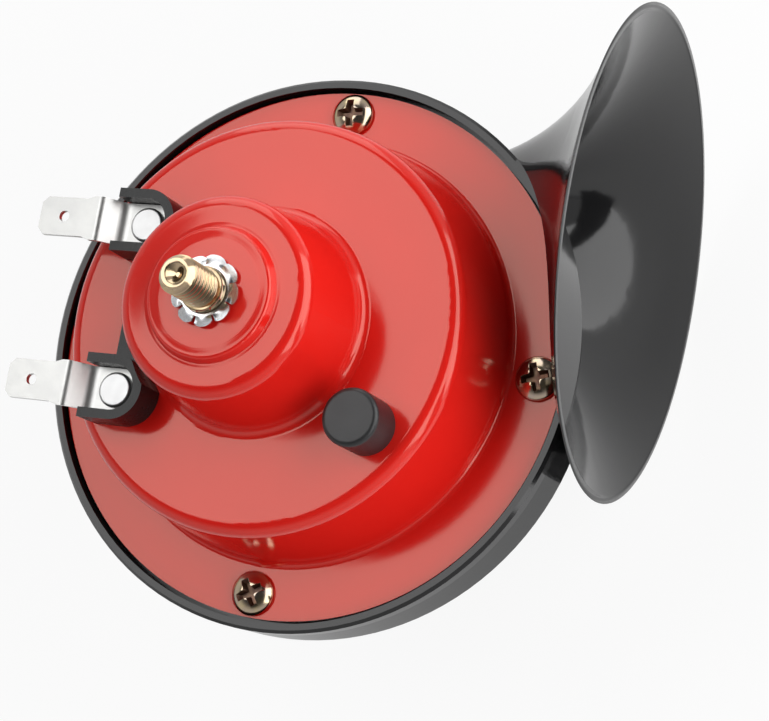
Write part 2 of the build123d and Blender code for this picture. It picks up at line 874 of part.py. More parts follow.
# Solder tags clinched under the rivets, tails turned towards the coil.
tag_sides = [("solder_tag_1", 1), ("solder_tag_2", -1)]
for tag_name, side in tag_sides:
    with BuildPart() as solder_tag:
        with BuildSketch(terminal_plane.offset(tag_bottom)):
            with Locations((rivet_x, side * rivet_y)):
                Circle(tag_radius)
            with Locations((rivet_x, side * (rivet_y - tag_tail_length / 2))):
                Rectangle(tag_tail_width, tag_tail_length)
            with Locations((rivet_x, side * rivet_y)):
                Circle(rivet_radius + rivet_clearance, mode=Mode.SUBTRACT)
        extrude(amount=tag_thick)
    solder_tag.part.label = tag_name
    export_step(solder_tag.part, "parts/" + tag_name + ".step")

# Rubber cap over the contact adjuster.
with BuildPart() as adjuster_cap:
    with BuildSketch(Plane.XY.offset(tier_top)):
        with Locations((adjuster_x, adjuster_y)):
            Circle(cap_radius)
    extrude(amount=cap_height)
    fillet(adjuster_cap.faces().sort_by(Axis.Z)[-1].edges(), cap_round)
    with BuildSketch(Plane.XY.offset(tier_top)):
        with Locations((adjuster_x, adjuster_y)):
            Circle(bush_radius + cap_clearance)
    extrude(amount=cap_height - cap_roof, mode=Mode.SUBTRACT)
adjuster_cap.part.label = "adjuster_cap"
export_step(adjuster_cap.part, "parts/adjuster_cap.step")

with BuildPart() as adjuster_bush:
    with BuildSketch(Plane.XY.offset(tier_under - bush_flange_thick)):
        with Locations((adjuster_x, adjuster_y)):
            Circle(bush_flange_radius)
    extrude(amount=bush_flange_thick)
    with BuildSketch(Plane.XY.offset(tier_under)):
        with Locations((adjuster_x, adjuster_y)):
            Circle(bush_radius)
    extrude(amount=sheet + bush_stand)
    with BuildSketch(Plane.XY.offset(tier_under - bush_flange_thick)):
        with Locations((adjuster_x, adjuster_y)):
            Circle(adjust_screw_radius + thread_clearance)
    extrude(amount=bush_flange_thick + sheet + bush_stand, mode=Mode.SUBTRACT)
adjuster_bush.part.label = "adjuster_bush"
export_step(adjuster_bush.part, "parts/adjuster_bush.step")

adjust_screw_top = tier_top + adjust_screw_stand
adjust_screw_bottom = leaf_top + tip_length
with BuildPart() as adjusting_screw:
    with BuildSketch(Plane.XY.offset(adjust_screw_bottom)):
        with Locations((adjuster_x, adjuster_y)):
            Circle(adjust_screw_radius)
    extrude(amount=adjust_screw_top - adjust_screw_bottom)
    with BuildSketch(Plane.XY.offset(adjust_screw_top - adjust_slot_depth)):
        with Locations((adjuster_x, adjuster_y)):
            Rectangle(2 * cap_radius, adjust_slot_width)
    extrude(amount=adjust_slot_depth, mode=Mode.SUBTRACT)
adjusting_screw.part.label = "adjusting_screw"
export_step(adjusting_screw.part, "parts/adjusting_screw.step")

with BuildPart() as adjuster_tip:
    with BuildSketch(Plane.XY.offset(leaf_top)):
        with Locations((adjuster_x, adjuster_y)):
            Circle(tip_radius)
    extrude(amount=tip_length)
adjuster_tip.part.label = "adjuster_tip"
export_step(adjuster_tip.part, "parts/adjuster_tip.step")

# Contact leaves: shared outline, the upper one with a finger over the armature collar.
rivet_middle_v = stack_v - stack_rivet_shift
stack_spots = [
    (stack_u, rivet_middle_v - stack_rivet_pitch / 2),
    (stack_u, rivet_middle_v + stack_rivet_pitch / 2),
]
leaf_outline = [
    (stack_in_u - leaf_tail, stack_low_v),
    (stack_out_u, stack_low_v),
    (stack_out_u, stack_high_v),
    (blade_u_out, blade_v_low),
    (blade_u_out, -blade_v_low / 2),
    (blade_u_out - finger_half_width, blade_v_high),
    (blade_u_in, blade_v_high),
    (blade_u_in, -blade_v_low / 2),
    (blade_u_in, blade_v_low),
    (stack_in_u, stack_high_v),
    (stack_in_u - leaf_tail, stack_v + stack_rivet_pitch / 2),
]

with BuildPart() as contact_arm:
    with BuildSketch(adjuster_plane.offset(arm_bottom)):
        with BuildLine():
            Polyline(leaf_outline, close=True)
        make_face()
        with Locations(((finger_tip_u + blade_u_out) / 2, 0)):
            Rectangle(blade_u_out - finger_tip_u, 2 * finger_half_width)
        with Locations((adjuster_reach, 0)):
            Circle(arm_hole_radius, mode=Mode.SUBTRACT)
        with Locations((contact_u, contact_v)):
            Circle(contact_tail_radius + contact_clearance, mode=Mode.SUBTRACT)
        with Locations(stack_spots):
            Circle(stack_sleeve_radius + stack_clearance, mode=Mode.SUBTRACT)
    extrude(amount=arm_thick)
contact_arm.part.label = "contact_arm"
export_step(contact_arm.part, "parts/contact_arm.step")

with BuildPart() as fixed_leaf:
    with BuildSketch(adjuster_plane.offset(leaf_bottom)):
        with BuildLine():
            Polyline(leaf_outline, close=True)
        make_face()
        with Locations((contact_u, contact_v)):
            Circle(contact_tail_radius + contact_clearance, mode=Mode.SUBTRACT)
        with Locations(stack_spots):
            Circle(stack_sleeve_radius + stack_clearance, mode=Mode.SUBTRACT)
    extrude(amount=leaf_thick)
fixed_leaf.part.label = "fixed_leaf"
export_step(fixed_leaf.part, "parts/fixed_leaf.step")

with BuildPart() as moving_contact:
    with BuildSketch(adjuster_plane.offset(arm_bottom - contact_thick)):
        with Locations((contact_u, contact_v)):
            Circle(contact_radius)
    extrude(amount=contact_thick)
    with BuildSketch(adjuster_plane.offset(arm_bottom)):
        with Locations((contact_u, contact_v)):
            Circle(contact_tail_radius)
    extrude(amount=arm_thick)
    with BuildSketch(adjuster_plane.offset(arm_top)):
        with Locations((contact_u, contact_v)):
            Circle(contact_radius)
    extrude(amount=contact_head_height)
moving_contact.part.label = "moving_contact"
export_step(moving_contact.part, "parts/moving_contact.step")

with BuildPart() as fixed_contact:
    with BuildSketch(adjuster_plane.offset(leaf_top)):
        with Locations((contact_u, contact_v)):
            Circle(contact_radius)
    extrude(amount=contact_thick)
    with BuildSketch(adjuster_plane.offset(leaf_bottom)):
        with Locations((contact_u, contact_v)):
            Circle(contact_tail_radius)
    extrude(amount=leaf_thick)
    with BuildSketch(adjuster_plane.offset(leaf_bottom)):
        with Locations((contact_u, contact_v)):
            Circle(contact_radius)
    extrude(amount=-contact_head_height)
fixed_contact.part.label = "fixed_contact"
export_step(fixed_contact.part, "parts/fixed_contact.step")

# Bent bracket welded under the tier, and the insulated stack riveted to its foot.
foot_bottom = arm_top + bracket_foot_lift
with BuildPart() as contact_bracket:
    with BuildSketch(adjuster_plane.offset(foot_bottom)):
        with Locations((stack_u, stack_v)):
            Rectangle(2 * stack_half_u, 2 * stack_half_v)
    extrude(amount=tier_under - foot_bottom)
    with BuildSketch(adjuster_plane.offset(foot_bottom + bracket_thick)):
        with Locations((stack_u, stack_v - bracket_thick)):
            Rectangle(2 * stack_half_u, 2 * stack_half_v)
    extrude(amount=tier_under - foot_bottom - 2 * bracket_thick, mode=Mode.SUBTRACT)
    with BuildSketch(adjuster_plane.offset(foot_bottom)):
        with Locations(stack_spots):
            Circle(stack_rivet_radius + stack_clearance)
    extrude(amount=bracket_thick, mode=Mode.SUBTRACT)
contact_bracket.part.label = "contact_bracket"
export_step(contact_bracket.part, "parts/contact_bracket.step")

plate_levels = [
    ("upper_insulator", arm_top, plate_insulator_thick),
    ("lower_insulator", leaf_bottom - plate_insulator_thick, plate_insulator_thick),
]
for plate_name, plate_bottom, plate_thick in plate_levels:
    with BuildPart() as plate:
        with BuildSketch(adjuster_plane.offset(plate_bottom)):
            with Locations((stack_u, stack_v)):
                Rectangle(2 * stack_half_u, 2 * stack_half_v)
            with Locations(stack_spots):
                Circle(stack_rivet_radius + stack_clearance, mode=Mode.SUBTRACT)
        extrude(amount=plate_thick)
    plate.part.label = plate_name
    export_step(plate.part, "parts/" + plate_name + ".step")

with BuildPart() as middle_insulator:
    with BuildSketch(adjuster_plane.offset(leaf_top)):
        with Locations((stack_u, stack_v)):
            Rectangle(2 * stack_half_u, 2 * stack_half_v)
    extrude(amount=arm_bottom - leaf_top)
    with BuildSketch(adjuster_plane.offset(leaf_bottom)):
        with Locations(stack_spots):
            Circle(stack_sleeve_radius)
    extrude(amount=arm_top - leaf_bottom)
    with BuildSketch(adjuster_plane.offset(leaf_bottom)):
        with Locations(stack_spots):
            Circle(stack_rivet_radius + stack_clearance)
    extrude(amount=arm_top - leaf_bottom, mode=Mode.SUBTRACT)
middle_insulator.part.label = "middle_insulator"
export_step(middle_insulator.part, "parts/middle_insulator.step")

stack_bottom = leaf_bottom - plate_insulator_thick
stack_top = foot_bottom + bracket_thick
with BuildPart() as stack_rivets:
    with BuildSketch(adjuster_plane.offset(stack_bottom)):
        with Locations(stack_spots):
            Circle(stack_rivet_radius)
    extrude(amount=stack_top - stack_bottom)
    for level, height in ((stack_top, stack_head_height), (stack_bottom, -stack_head_height)):
        with BuildSketch(adjuster_plane.offset(level)):
            with Locations(stack_spots):
                Circle(stack_head_radius)
        extrude(amount=height)
stack_rivets.part.label = "stack_rivets"
export_step(stack_rivets.part, "parts/stack_rivets.step")

# Wires: winding to the first tag, winding to the arm, fixed leaf to the second tag.
winding_bottom = tier_under + bobbin_flange_thick
tag_lead_level = tag_bottom - lead_radius
arm_lead_level = arm_top + lead_radius
leaf_lead_level = leaf_bottom - lead_radius
tail_y = rivet_y - tag_tail_length + tag_tail_grip
tail_u = stack_in_u - leaf_tail / 2
leaf_end_above = adjuster_plane.from_local_coords((tail_u, stack_v, arm_lead_level))
leaf_end_below = adjuster_plane.from_local_coords((tail_u, stack_v, leaf_lead_level))
tag_end_1 = terminal_plane.from_local_coords((rivet_x, tail_y, tag_lead_level))
tag_end_2 = terminal_plane.from_local_coords((rivet_x, -tail_y, tag_lead_level))
coil_leads = [
    ("coil_lead_1", (-lead_exit_radius, 0), tag_lead_level, tag_end_1),
    ("coil_lead_2", (0, -lead_exit_radius), arm_lead_level, leaf_end_above),
]
for lead_name, (exit_x, exit_y), level, lead_end in coil_leads:
    lead_start = terminal_plane.from_local_coords((exit_x, exit_y, winding_bottom))
    corner = terminal_plane.from_local_coords((exit_x, exit_y, level))
    bend_start = corner + Vector(0, 0, lead_bend)
    bend_end = corner + (lead_end - corner).normalized() * lead_bend
    with BuildPart() as coil_lead:
        with BuildLine() as lead_path:
            Line(lead_start, bend_start)
            Bezier(bend_start, corner, bend_end)
            Line(bend_end, lead_end)
        with BuildSketch(Plane(origin=lead_start, z_dir=(0, 0, -1))):
            Circle(lead_radius)
        sweep(path=lead_path.line)
    coil_lead.part.label = lead_name
    export_step(coil_lead.part, "parts/" + lead_name + ".step")

with BuildPart() as contact_lead:
    run = leaf_end_below - tag_end_2
    heading = Vector(run.X, run.Y, 0).normalized()
    with BuildLine() as lead_path:
        Line(tag_end_2, tag_end_2 + heading * lead_straight)
        Bezier(
            tag_end_2 + heading * lead_straight,
            tag_end_2 + heading * 2 * lead_straight,
            leaf_end_below - heading * 2 * lead_straight,
            leaf_end_below - heading * lead_straight,
        )
        Line(leaf_end_below - heading * lead_straight, leaf_end_below)
    with BuildSketch(Plane(origin=tag_end_2, z_dir=heading)):
        Circle(lead_radius)
    sweep(path=lead_path.line)
contact_lead.part.label = "contact_lead"
export_step(contact_lead.part, "parts/contact_lead.step")
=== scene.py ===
import bpy
import bmesh
from math import cos, pi, radians, sin
from mathutils import Matrix, Vector


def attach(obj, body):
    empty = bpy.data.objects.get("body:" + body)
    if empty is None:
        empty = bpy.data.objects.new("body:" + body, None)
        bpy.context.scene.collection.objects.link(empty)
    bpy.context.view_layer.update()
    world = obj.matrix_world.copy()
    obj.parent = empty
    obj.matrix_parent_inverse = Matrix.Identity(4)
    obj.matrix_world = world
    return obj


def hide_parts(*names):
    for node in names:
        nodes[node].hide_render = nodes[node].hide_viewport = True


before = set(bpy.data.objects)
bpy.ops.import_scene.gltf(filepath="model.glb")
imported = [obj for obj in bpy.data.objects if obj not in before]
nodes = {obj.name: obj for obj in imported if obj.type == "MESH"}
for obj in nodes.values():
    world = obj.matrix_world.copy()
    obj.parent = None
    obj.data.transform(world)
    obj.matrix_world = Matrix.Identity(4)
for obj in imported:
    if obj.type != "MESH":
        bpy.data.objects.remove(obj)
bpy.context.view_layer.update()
mm = 0.001
print("frame loaded with", len(nodes), "nodes")


class Wire:
    # wraps an output socket, so that shader maths reads as an expression
    def __init__(self, shading, socket):
        self.shading = shading
        self.socket = socket

    def __add__(self, other):
        return self.shading.maths("ADD", self, other)

    def __sub__(self, other):
        return self.shading.maths("SUBTRACT", self, other)

    def __rsub__(self, other):
        return self.shading.maths("SUBTRACT", other, self)

    def __mul__(self, other):
        return self.shading.maths("MULTIPLY", self, other)

    __radd__ = __add__
    __rmul__ = __mul__


class Shading:
    # builds the nodes of one tree
    def __init__(self, tree):
        self.tree = tree
        self.tree.nodes.clear()

    def add(self, kind, settings=None, sockets=None, output=0):
        made = self.tree.nodes.new(kind)
        for name, value in (settings or {}).items():
            if name == "stops":
                elements = made.color_ramp.elements
                while len(elements) < len(value):
                    elements.new(0.5)
                for element, (spot, shade) in zip(elements, value):
                    element.position = spot
                    element.color = shade
            elif name == "joined":
                made.color_ramp.interpolation = value
            else:
                setattr(made, name, value)
        for name, value in (sockets or {}).items():
            if isinstance(value, Wire):
                self.tree.links.new(value.socket, made.inputs[name])
            else:
                made.inputs[name].default_value = value
        return Wire(self, made.outputs[output]) if made.outputs else None

    def maths(self, operation, first, second):
        return self.add("ShaderNodeMath", {"operation": operation}, {0: first, 1: second})

    def vectors(self, operation, first, second):
        return self.add("ShaderNodeVectorMath", {"operation": operation}, {0: first, 1: second})

    def blendColours(self, mask, first, second):
        return self.add("ShaderNodeMix", {"data_type": "RGBA"}, {0: mask, 6: first, 7: second}, 2)

    def ramp(self, value, low, high):
        settings = {"interpolation_type": "SMOOTHSTEP", "clamp": True}
        sockets = {"Value": value, "From Min": low, "From Max": high}
        return self.add("ShaderNodeMapRange", settings, sockets, "Result")

    def part(self, vector, axis):
        return self.add("ShaderNodeSeparateXYZ", None, {0: vector}, axis)


class Finish(Shading):
    # one material, whose patterns follow the place on the object
    def __init__(self, name):
        self.material = bpy.data.materials.new(name)
        self.material.use_nodes = True
        super().__init__(self.material.node_tree)
        self.place = self.add("ShaderNodeNewGeometry", output="Position")

    def noise(self, scale, detail=4.0, roughness=0.5, stretch=None):
        where = self.place
        if stretch:
            where = self.add("ShaderNodeMapping", None, {"Vector": where, "Scale": stretch})
        sockets = {"Vector": where, "Scale": scale, "Detail": detail, "Roughness": roughness}
        return self.add("ShaderNodeTexNoise", {"noise_dimensions": "3D"}, sockets, "Fac")

    def bump(self, height, distance, under=None):
        sockets = {"Height": height, "Distance": distance * mm, "Strength": 1.0}
        if under:
            sockets["Normal"] = under
        return self.add("ShaderNodeBump", None, sockets)

    def reachFrom(self, centre, flatten):
        # distance from the axis through centre; flatten is 0 along that axis
        offset = self.vectors("SUBTRACT", self.place, Vector(centre) * mm)
        across = self.vectors("MULTIPLY", offset, flatten)
        return self.add("ShaderNodeVectorMath", {"operation": "LENGTH"}, {0: across}, "Value")

    def rampMm(self, value, span):
        # the same as ramp, with its span in millimetres
        return self.ramp(value, span[0] * mm, span[1] * mm)

    def principled(self, sockets):
        return self.add("ShaderNodeBsdfPrincipled", None, sockets)

    def close(self, surface):
        self.add("ShaderNodeOutputMaterial", None, {"Surface": surface})
        return self.material


def colour(red, green, blue):
    return (red, green, blue, 1.0)


def grey(value):
    return colour(value, value, value)


studAxis = {"centre": (0.0, 0.0, 0.0), "flatten": (1.0, 1.0, 0.0)}
bellAxis = {"centre": (0.0, 24.84, -52.19), "flatten": (0.0, 1.0, 1.0)}

# Red stoved paint on the pressed cover. The press lines give the soft crowning of the dome's top:
# distance from the stud's axis and height, both in millimetres.
redPaint = {
    "base": colour(0.76, 0.017, 0.011), "shade": colour(0.66, 0.011, 0.008), "toneScale": 35.0,
    "speckScale": 2600.0, "speckRange": (0.72, 0.8), "speckShare": 0.25,
    "roughness": 0.12, "roughnessSpread": 0.05, "fineScale": 900.0,
    "peelHeight": 0.004, "peelScale": 420.0,
    "waveHeight": 0.12, "waveScale": 45.0,
    "density": 1.66, "warmth": colour(1.0, 0.86, 0.74),
    "pressHeight": 1.0, "pressReach": 20.0,
    "pressLines": [
        (0.0, 1.0), (4.0, 1.0), (5.5, 0.978), (7.0, 0.913), (8.0, 0.8325), (8.6, 0.763), (9.4, 0.571),
        (10.4, 0.55), (11.0, 0.44), (12.3, 0.31), (13.6, 0.18), (15.0, 0.10), (20.0, 0.10),
    ],
}


def makeRedPaint():
    look = redPaint
    finish = Finish("redPaint")
    tone = finish.noise(look["toneScale"], 3.0)
    fine = finish.noise(look["fineScale"], 2.0)
    peel = finish.noise(look["peelScale"], 2.0)
    wave = finish.noise(look["waveScale"], 1.0)
    speck = finish.ramp(finish.noise(look["speckScale"], 1.0), *look["speckRange"])
    pressed = finish.add(
        "ShaderNodeValToRGB",
        {"stops": [(at / look["pressReach"], grey(high)) for at, high in look["pressLines"]], "joined": "B_SPLINE"},
        {"Fac": finish.reachFrom(**studAxis) * (1 / (look["pressReach"] * mm))},
    )
    crown = finish.bump(pressed, look["pressHeight"])
    waves = finish.bump(wave, look["waveHeight"], crown)
    toned = finish.blendColours(tone, look["base"], look["shade"])
    return finish.close(finish.principled({
        "Base Color": finish.blendColours(speck * look["speckShare"], toned, look["shade"]),
        "Roughness": look["roughness"] + (fine - 0.5) * look["roughnessSpread"],
        "Normal": finish.bump(peel, look["peelHeight"], waves),
        "IOR": look["density"],
        "Specular Tint": look["warmth"],
    }))


# Mouldings and other materials without metal. The lip is the flat edge of the mouth, whose
# corners are softened: place along X and distances from the bell's axis, in millimetres.
mouldingPattern = {
    "toneScale": 50.0, "fineScale": 1400.0, "smearScale": 90.0, "smearRoughness": 0.65, "waveScale": 55.0,
}
blackPlastic = {
    "base": colour(0.006, 0.006, 0.0065), "shade": colour(0.010, 0.010, 0.0105),
    "roughness": 0.10, "roughnessSpread": 0.06, "grain": 0.002, "waviness": 0.03, "density": 1.50,
    "lip": {"along": (47.2, 47.5), "inner": (38.9, 39.6), "outer": (39.8, 40.4), "height": 0.4},
}
plastics = {
    "blackPlastic": blackPlastic,
    "blackPlasticRear": blackPlastic,
    "phenolic": {
        "base": colour(0.007, 0.008, 0.008), "shade": colour(0.012, 0.013, 0.013),
        "roughness": 0.27, "roughnessSpread": 0.2, "grain": 0.02, "waviness": 0.12, "density": 1.40,
    },
    "rubber": {
        "base": colour(0.013, 0.013, 0.014), "shade": colour(0.024, 0.024, 0.025),
        "roughness": 0.36, "roughnessSpread": 0.2, "grain": 0.012, "waviness": 0.02,
    },
    "nylon": {
        "base": colour(0.62, 0.58, 0.48), "shade": colour(0.54, 0.50, 0.41),
        "roughness": 0.45, "roughnessSpread": 0.1, "grain": 0.01, "waviness": 0.01,
    },
    "gasketPaper": {
        "base": colour(0.18, 0.12, 0.07), "shade": colour(0.12, 0.08, 0.05),
        "roughness": 0.8, "roughnessSpread": 0.1, "grain": 0.03, "waviness": 0.01,
    },
    "fibreBoard": {
        "base": colour(0.30, 0.12, 0.05), "shade": colour(0.22, 0.08, 0.035),
        "roughness": 0.6, "roughnessSpread": 0.1, "grain": 0.02, "waviness": 0.01,
    },
    "ceramic": {
        "base": colour(0.80, 0.78, 0.74), "shade": colour(0.72, 0.70, 0.66),
        "roughness": 0.35, "roughnessSpread": 0.1, "grain": 0.01, "waviness": 0.01,
    },
    "wireCover": {
        "base": grey(0.02), "shade": grey(0.03),
        "roughness": 0.45, "roughnessSpread": 0.1, "grain": 0.01, "waviness": 0.01,
    },
}


def makePlastic(name, look):
    finish = Finish(name)
    pattern = mouldingPattern
    tone = finish.noise(pattern["toneScale"], 4.0)
    fine = finish.noise(pattern["fineScale"], 3.0)
    smear = finish.noise(pattern["smearScale"], 5.0, pattern["smearRoughness"])
    waves = finish.bump(finish.noise(pattern["waveScale"], 1.0), look["waviness"])
    if "lip" in look:
        lip = look["lip"]
        reach = finish.reachFrom(**bellAxis)
        inside = finish.rampMm(reach, lip["inner"])
        outside = finish.rampMm(reach, lip["outer"])
        near = finish.rampMm(finish.part(finish.place, "X"), lip["along"])
        waves = finish.bump(inside * (1 - outside) * near, lip["height"], waves)
    return finish.close(finish.principled({
        "Base Color": finish.blendColours(tone, look["base"], look["shade"]),
        "Roughness": look["roughness"] + (smear - 0.5) * look["roughnessSpread"],
        "Normal": finish.bump(fine, look["grain"], waves),
        "IOR": look.get("density", 1.5),
    }))


# Plated and bare metals. The stud's thread roots carry painted shade, a dark brown set by distance from the
# stud's axis and below a height, in millimetres.
metalPattern = {"toneRange": (0.3, 0.7), "scratchScale": 700.0, "fineScale": 2500.0, "fineShare": 0.4}
metals = {
    "brightZinc": {
        "base": colour(0.76, 0.77, 0.78), "shade": colour(0.64, 0.66, 0.69),
        "roughness": 0.24, "roughnessSpread": 0.12, "grain": 0.006, "patchScale": 500.0,
    },
    "yellowZinc": {
        "base": colour(0.68, 0.52, 0.29), "shade": colour(0.58, 0.44, 0.32),
        "roughness": 0.18, "roughnessSpread": 0.12, "grain": 0.006, "patchScale": 330.0,
    },
    "studZinc": {
        "base": colour(0.66, 0.51, 0.30), "shade": colour(0.54, 0.40, 0.27),
        "roughness": 0.17, "roughnessSpread": 0.12, "grain": 0.008, "patchScale": 420.0,
        # painted shade: dark brown down in the thread's roots
        "valleyShade": {"reach": (2.5, 2.86), "below": (6.9, 7.1), "colour": colour(0.17, 0.10, 0.05)},
    },
    "yellowZincBright": {
        "base": colour(0.62, 0.50, 0.30), "shade": colour(0.50, 0.40, 0.34),
        "roughness": 0.16, "roughnessSpread": 0.1, "grain": 0.004, "patchScale": 420.0,
    },
    "tinPlate": {
        "base": colour(0.58, 0.58, 0.565), "shade": colour(0.53, 0.53, 0.52),
        "roughness": 0.34, "roughnessSpread": 0.15, "grain": 0.006, "patchScale": 220.0,
        "brush": (1.0, 6.0, 6.0),
    },
    "rivetMetal": {
        "base": grey(0.60), "shade": grey(0.57),
        "roughness": 0.36, "roughnessSpread": 0.12, "grain": 0.005, "patchScale": 300.0,
    },
    "bareSteel": {
        "base": colour(0.56, 0.56, 0.57), "shade": colour(0.44, 0.44, 0.45),
        "roughness": 0.34, "roughnessSpread": 0.2, "grain": 0.01, "patchScale": 200.0,
    },
    "springSteel": {
        "base": colour(0.50, 0.51, 0.54), "shade": colour(0.40, 0.41, 0.46),
        "roughness": 0.26, "roughnessSpread": 0.15, "grain": 0.006, "patchScale": 160.0,
    },
    # painted shade: the screws' cross recesses darkened to a dull brown
    "recessPaintedShade": {
        "base": colour(0.26, 0.17, 0.11), "shade": colour(0.18, 0.11, 0.09),
        "roughness": 0.42, "roughnessSpread": 0.12, "grain": 0.01, "patchScale": 700.0,
    },
    "copper": {
        "base": colour(0.80, 0.34, 0.18), "shade": colour(0.62, 0.24, 0.12),
        "roughness": 0.3, "roughnessSpread": 0.15, "grain": 0.02, "patchScale": 400.0,
        "brush": (1.0, 1.0, 8.0),
    },
    "tungsten": {
        "base": colour(0.62, 0.61, 0.60), "shade": colour(0.50, 0.49, 0.48),
        "roughness": 0.3, "roughnessSpread": 0.1, "grain": 0.004, "patchScale": 300.0,
    },
}


def makeMetal(name, look):
    finish = Finish(name)
    pattern = metalPattern
    tone = finish.ramp(finish.noise(look["patchScale"], 4.0, 0.6), *pattern["toneRange"])
    scratch = finish.noise(pattern["scratchScale"], 3.0, 0.6, look.get("brush"))
    fine = finish.noise(pattern["fineScale"], 2.0)
    plating = finish.blendColours(tone, look["base"], look["shade"])
    if "valleyShade" in look:
        valleyShade = look["valleyShade"]
        # painted shade: the thread's roots blend to the dark brown
        deep = 1 - finish.rampMm(finish.reachFrom(**studAxis), valleyShade["reach"])
        below = 1 - finish.rampMm(finish.part(finish.place, "Z"), valleyShade["below"])
        plating = finish.blendColours(deep * below, plating, valleyShade["colour"])
    return finish.close(finish.principled({
        "Base Color": plating,
        "Metallic": 1.0,
        "Roughness": look["roughness"] + (scratch - 0.5) * look["roughnessSpread"],
        "Normal": finish.bump(scratch + fine * pattern["fineShare"], look["grain"]),
    }))


finishes = {"redPaint": makeRedPaint()}
for finishName, look in metals.items():
    finishes[finishName] = makeMetal(finishName, look)
for finishName, look in plastics.items():
    finishes[finishName] = makePlastic(finishName, look)
print("finishes made:", len(finishes))

nodeFinish = {
    "redPaint": ["cover"],
    "blackPlastic": ["horn_body"],
    "blackPlasticRear": ["snail_cover"],
    "phenolic": ["insulator_block"],
    "rubber": ["adjuster_cap"],
    "tinPlate": ["terminal_1", "terminal_2"],
    "rivetMetal": ["terminal_rivets"],
    "yellowZinc": ["cover_screws", "mounting_stud", "armature_nut", "adjuster_bush"],
    "brightZinc": ["lock_washer", "solder_tag_1", "solder_tag_2", "stack_rivets"],
    "bareSteel": ["core", "yoke_plate", "armature", "armature_washer", "contact_bracket", "adjusting_screw"],
    "springSteel": ["diaphragm", "contact_arm", "fixed_leaf"],
    "copper": ["coil_winding"],
    "tungsten": ["moving_contact", "fixed_contact"],
    "nylon": ["coil_bobbin"],
    "gasketPaper": ["cover_gasket", "body_gasket"],
    "fibreBoard": ["inner_insulators", "upper_insulator", "middle_insulator", "lower_insulator"],
    "ceramic": ["adjuster_tip"],
    "wireCover": ["coil_lead_1", "coil_lead_2", "contact_lead"],
}
for finishName, members in nodeFinish.items():
    for member in members:
        slots = nodes[member].data.materials
        for index in range(len(slots)):
            slots[index] = finishes[finishName]
print("finishes laid on the carried-over nodes")


def addPiece(name, bm, finishName, replaced, sharp):
    # a smooth piece of the horn in place of a node; edges of more than sharp degrees stay sharp
    mesh = bpy.data.meshes.new(name)
    bmesh.ops.recalc_face_normals(bm, faces=bm.faces)
    bm.to_mesh(mesh)
    bm.free()
    mesh.materials.append(finishes[finishName])
    mesh.polygons.foreach_set("use_smooth", [True] * len(mesh.polygons))
    mesh.set_sharp_from_angle(angle=radians(sharp))
    piece = bpy.data.objects.new(name, mesh)
    bpy.context.scene.collection.objects.link(piece)
    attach(piece, "horn")
    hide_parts(replaced)
    return piece


def placeRows(bm, rows):
    return [[bm.verts.new(Vector(point) * mm) for point in row] for row in rows]


def addRows(bm, rows):
    # quads between neighbouring closed rows of points, in millimetres
    made = placeRows(bm, rows)
    for low, high in zip(made, made[1:]):
        for index in range(len(low)):
            after = (index + 1) % len(low)
            bm.faces.new((low[index], low[after], high[after], high[index]))
    return made


def ring(radius, height, around):
    angles = [2 * pi * index / around for index in range(around)]
    return [(radius * cos(angle), radius * sin(angle), height) for angle in angles]


def weld(bm, distance):
    bmesh.ops.remove_doubles(bm, verts=bm.verts, dist=distance * mm)
    bmesh.ops.dissolve_degenerate(bm, edges=bm.edges, dist=distance * mm)


pole = 0.001  # radius of a row that closes a piece on its axis, until it is welded

# Threaded mounting stud. The form is one turn's profile: share of the pitch and radius.
stud = {
    "pitch": 1.0, "crest": 3.0, "top": 8.3, "chamfer": 0.85, "start": -0.4, "buried": 2.3, "spareTurns": 3,
    "form": [
        (0.0, 3.0), (0.12, 3.0), (0.18, 2.93), (0.40, 2.51), (0.47, 2.46), (0.64, 2.46), (0.71, 2.51), (0.93, 2.93),
    ],
    "cupRadius": 1.45, "cupDepth": 1.15, "cupEdge": (0.1, 0.06), "cupPoint": (0.35, 0.05),
    "shoulder": 3.45, "shoulderRound": 0.2, "shoulderEase": 0.3,
    "seat": -2.9, "bottom": -10.8, "bottomChamfer": 0.4,
    "around": 80, "weld": 0.003, "sharp": 35.0,
}


def threadRows():
    # each row climbs by one pitch on its way round, so that it ends a turn above its start
    around, top, start = stud["around"], stud["top"], stud["start"]
    tipRadius = stud["crest"] - stud["chamfer"]
    rows = []
    for turn in range(int((top - start) / stud["pitch"]) + stud["spareTurns"]):
        for phase, radius in stud["form"]:
            row = []
            for index in range(around):
                angle = 2 * pi * index / around
                height = start + (turn - 1 + phase + index / around) * stud["pitch"]
                reach = min(radius, stud["crest"] - (height - top + stud["chamfer"]))
                if height < start:
                    height, reach = start, stud["buried"]
                if height > top:
                    height, reach = top, tipRadius
                row.append((reach * cos(angle), reach * sin(angle), height))
            rows.append(row)
    return rows


